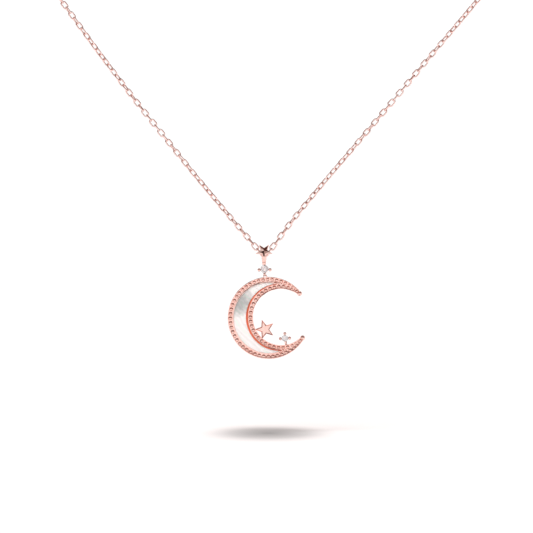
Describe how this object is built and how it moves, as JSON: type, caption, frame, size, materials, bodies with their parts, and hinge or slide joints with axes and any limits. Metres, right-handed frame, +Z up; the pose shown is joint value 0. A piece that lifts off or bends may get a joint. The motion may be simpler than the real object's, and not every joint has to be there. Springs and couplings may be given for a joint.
{
  "type": "pendant necklace",
  "caption": "Fine cable chain necklace with a crescent pendant, inlaid with pearl, on a star bail, with a lobster clasp and extender.",
  "frame": {"origin": "top of the chain's loop at the middle, where the neck or a stand carries the necklace", "axes": "+X to the wearer's left as seen from the front (the viewer's right), -Y towards the viewer, +Z up"},
  "size_m": [0.1292, 0.0058, 0.1515],
  "materials": {
    "rose_gold": "polished rose gold plate",
    "pearl": "polished mother-of-pearl",
    "clear_stone": "faceted cubic zirconia",
    "spring_steel": "plain"
  },
  "bodies": {
    "root": {"chain": "rose_gold", "left_ring": "rose_gold", "clasp_body": "rose_gold", "clasp_rivet": "rose_gold", "tag_ring": "rose_gold"},
    "bail": {"bail_loop": "rose_gold", "bail_star": "rose_gold", "large_setting": "rose_gold", "large_stone": "clear_stone", "setting_eye": "rose_gold"},
    "link": {"link_ring": "rose_gold"},
    "moon": {"moon_eye": "rose_gold", "moon_frame": "rose_gold", "pearl_inlay": "pearl", "moon_star": "rose_gold", "small_setting": "rose_gold", "small_stone": "clear_stone"},
    "lever": {"clasp_lever": "rose_gold", "clasp_spring": "spring_steel"},
    "extender": {"extender_ring": "rose_gold", "extender_chain": "rose_gold"},
    "drop": {"drop_ring": "rose_gold", "extender_drop": "rose_gold"}
  },
  "joints": [
    {"name": "pendant_swing", "type": "hinge", "parent": "root", "child": "bail", "pos_m": [0, 0, -0.13], "axis": [1, 0, 0], "range_deg": [-8, 35]},
    {"name": "link_swing", "type": "hinge", "parent": "bail", "child": "link", "pos_m": [0.00015, 0.00009, -0.1333], "axis": [1, 0, 0], "range_deg": [-15, 15]},
    {"name": "moon_sway", "type": "hinge", "parent": "link", "child": "moon", "pos_m": [0.00015, 0.00009, -0.13385], "axis": [0, 1, 0], "range_deg": [-15, 15]},
    {"name": "lever_open", "type": "hinge", "parent": "root", "child": "lever", "pos_m": [-0.0028, 0, 0], "axis": [0, -1, 0], "range_deg": [0, 10], "stiffness_Nm_per_rad": 0.002, "springref_deg": -17.19},
    {"name": "extender_swing", "type": "hinge", "parent": "root", "child": "extender", "pos_m": [0.00471, -0.002, 0], "axis": [1, 0, 0], "range_deg": [-40, 12]},
    {"name": "drop_swing", "type": "hinge", "parent": "extender", "child": "drop", "pos_m": [0.00471, -0.002, -0.05029], "axis": [1, 0, 0], "range_deg": [-30, 30]}
  ]
}
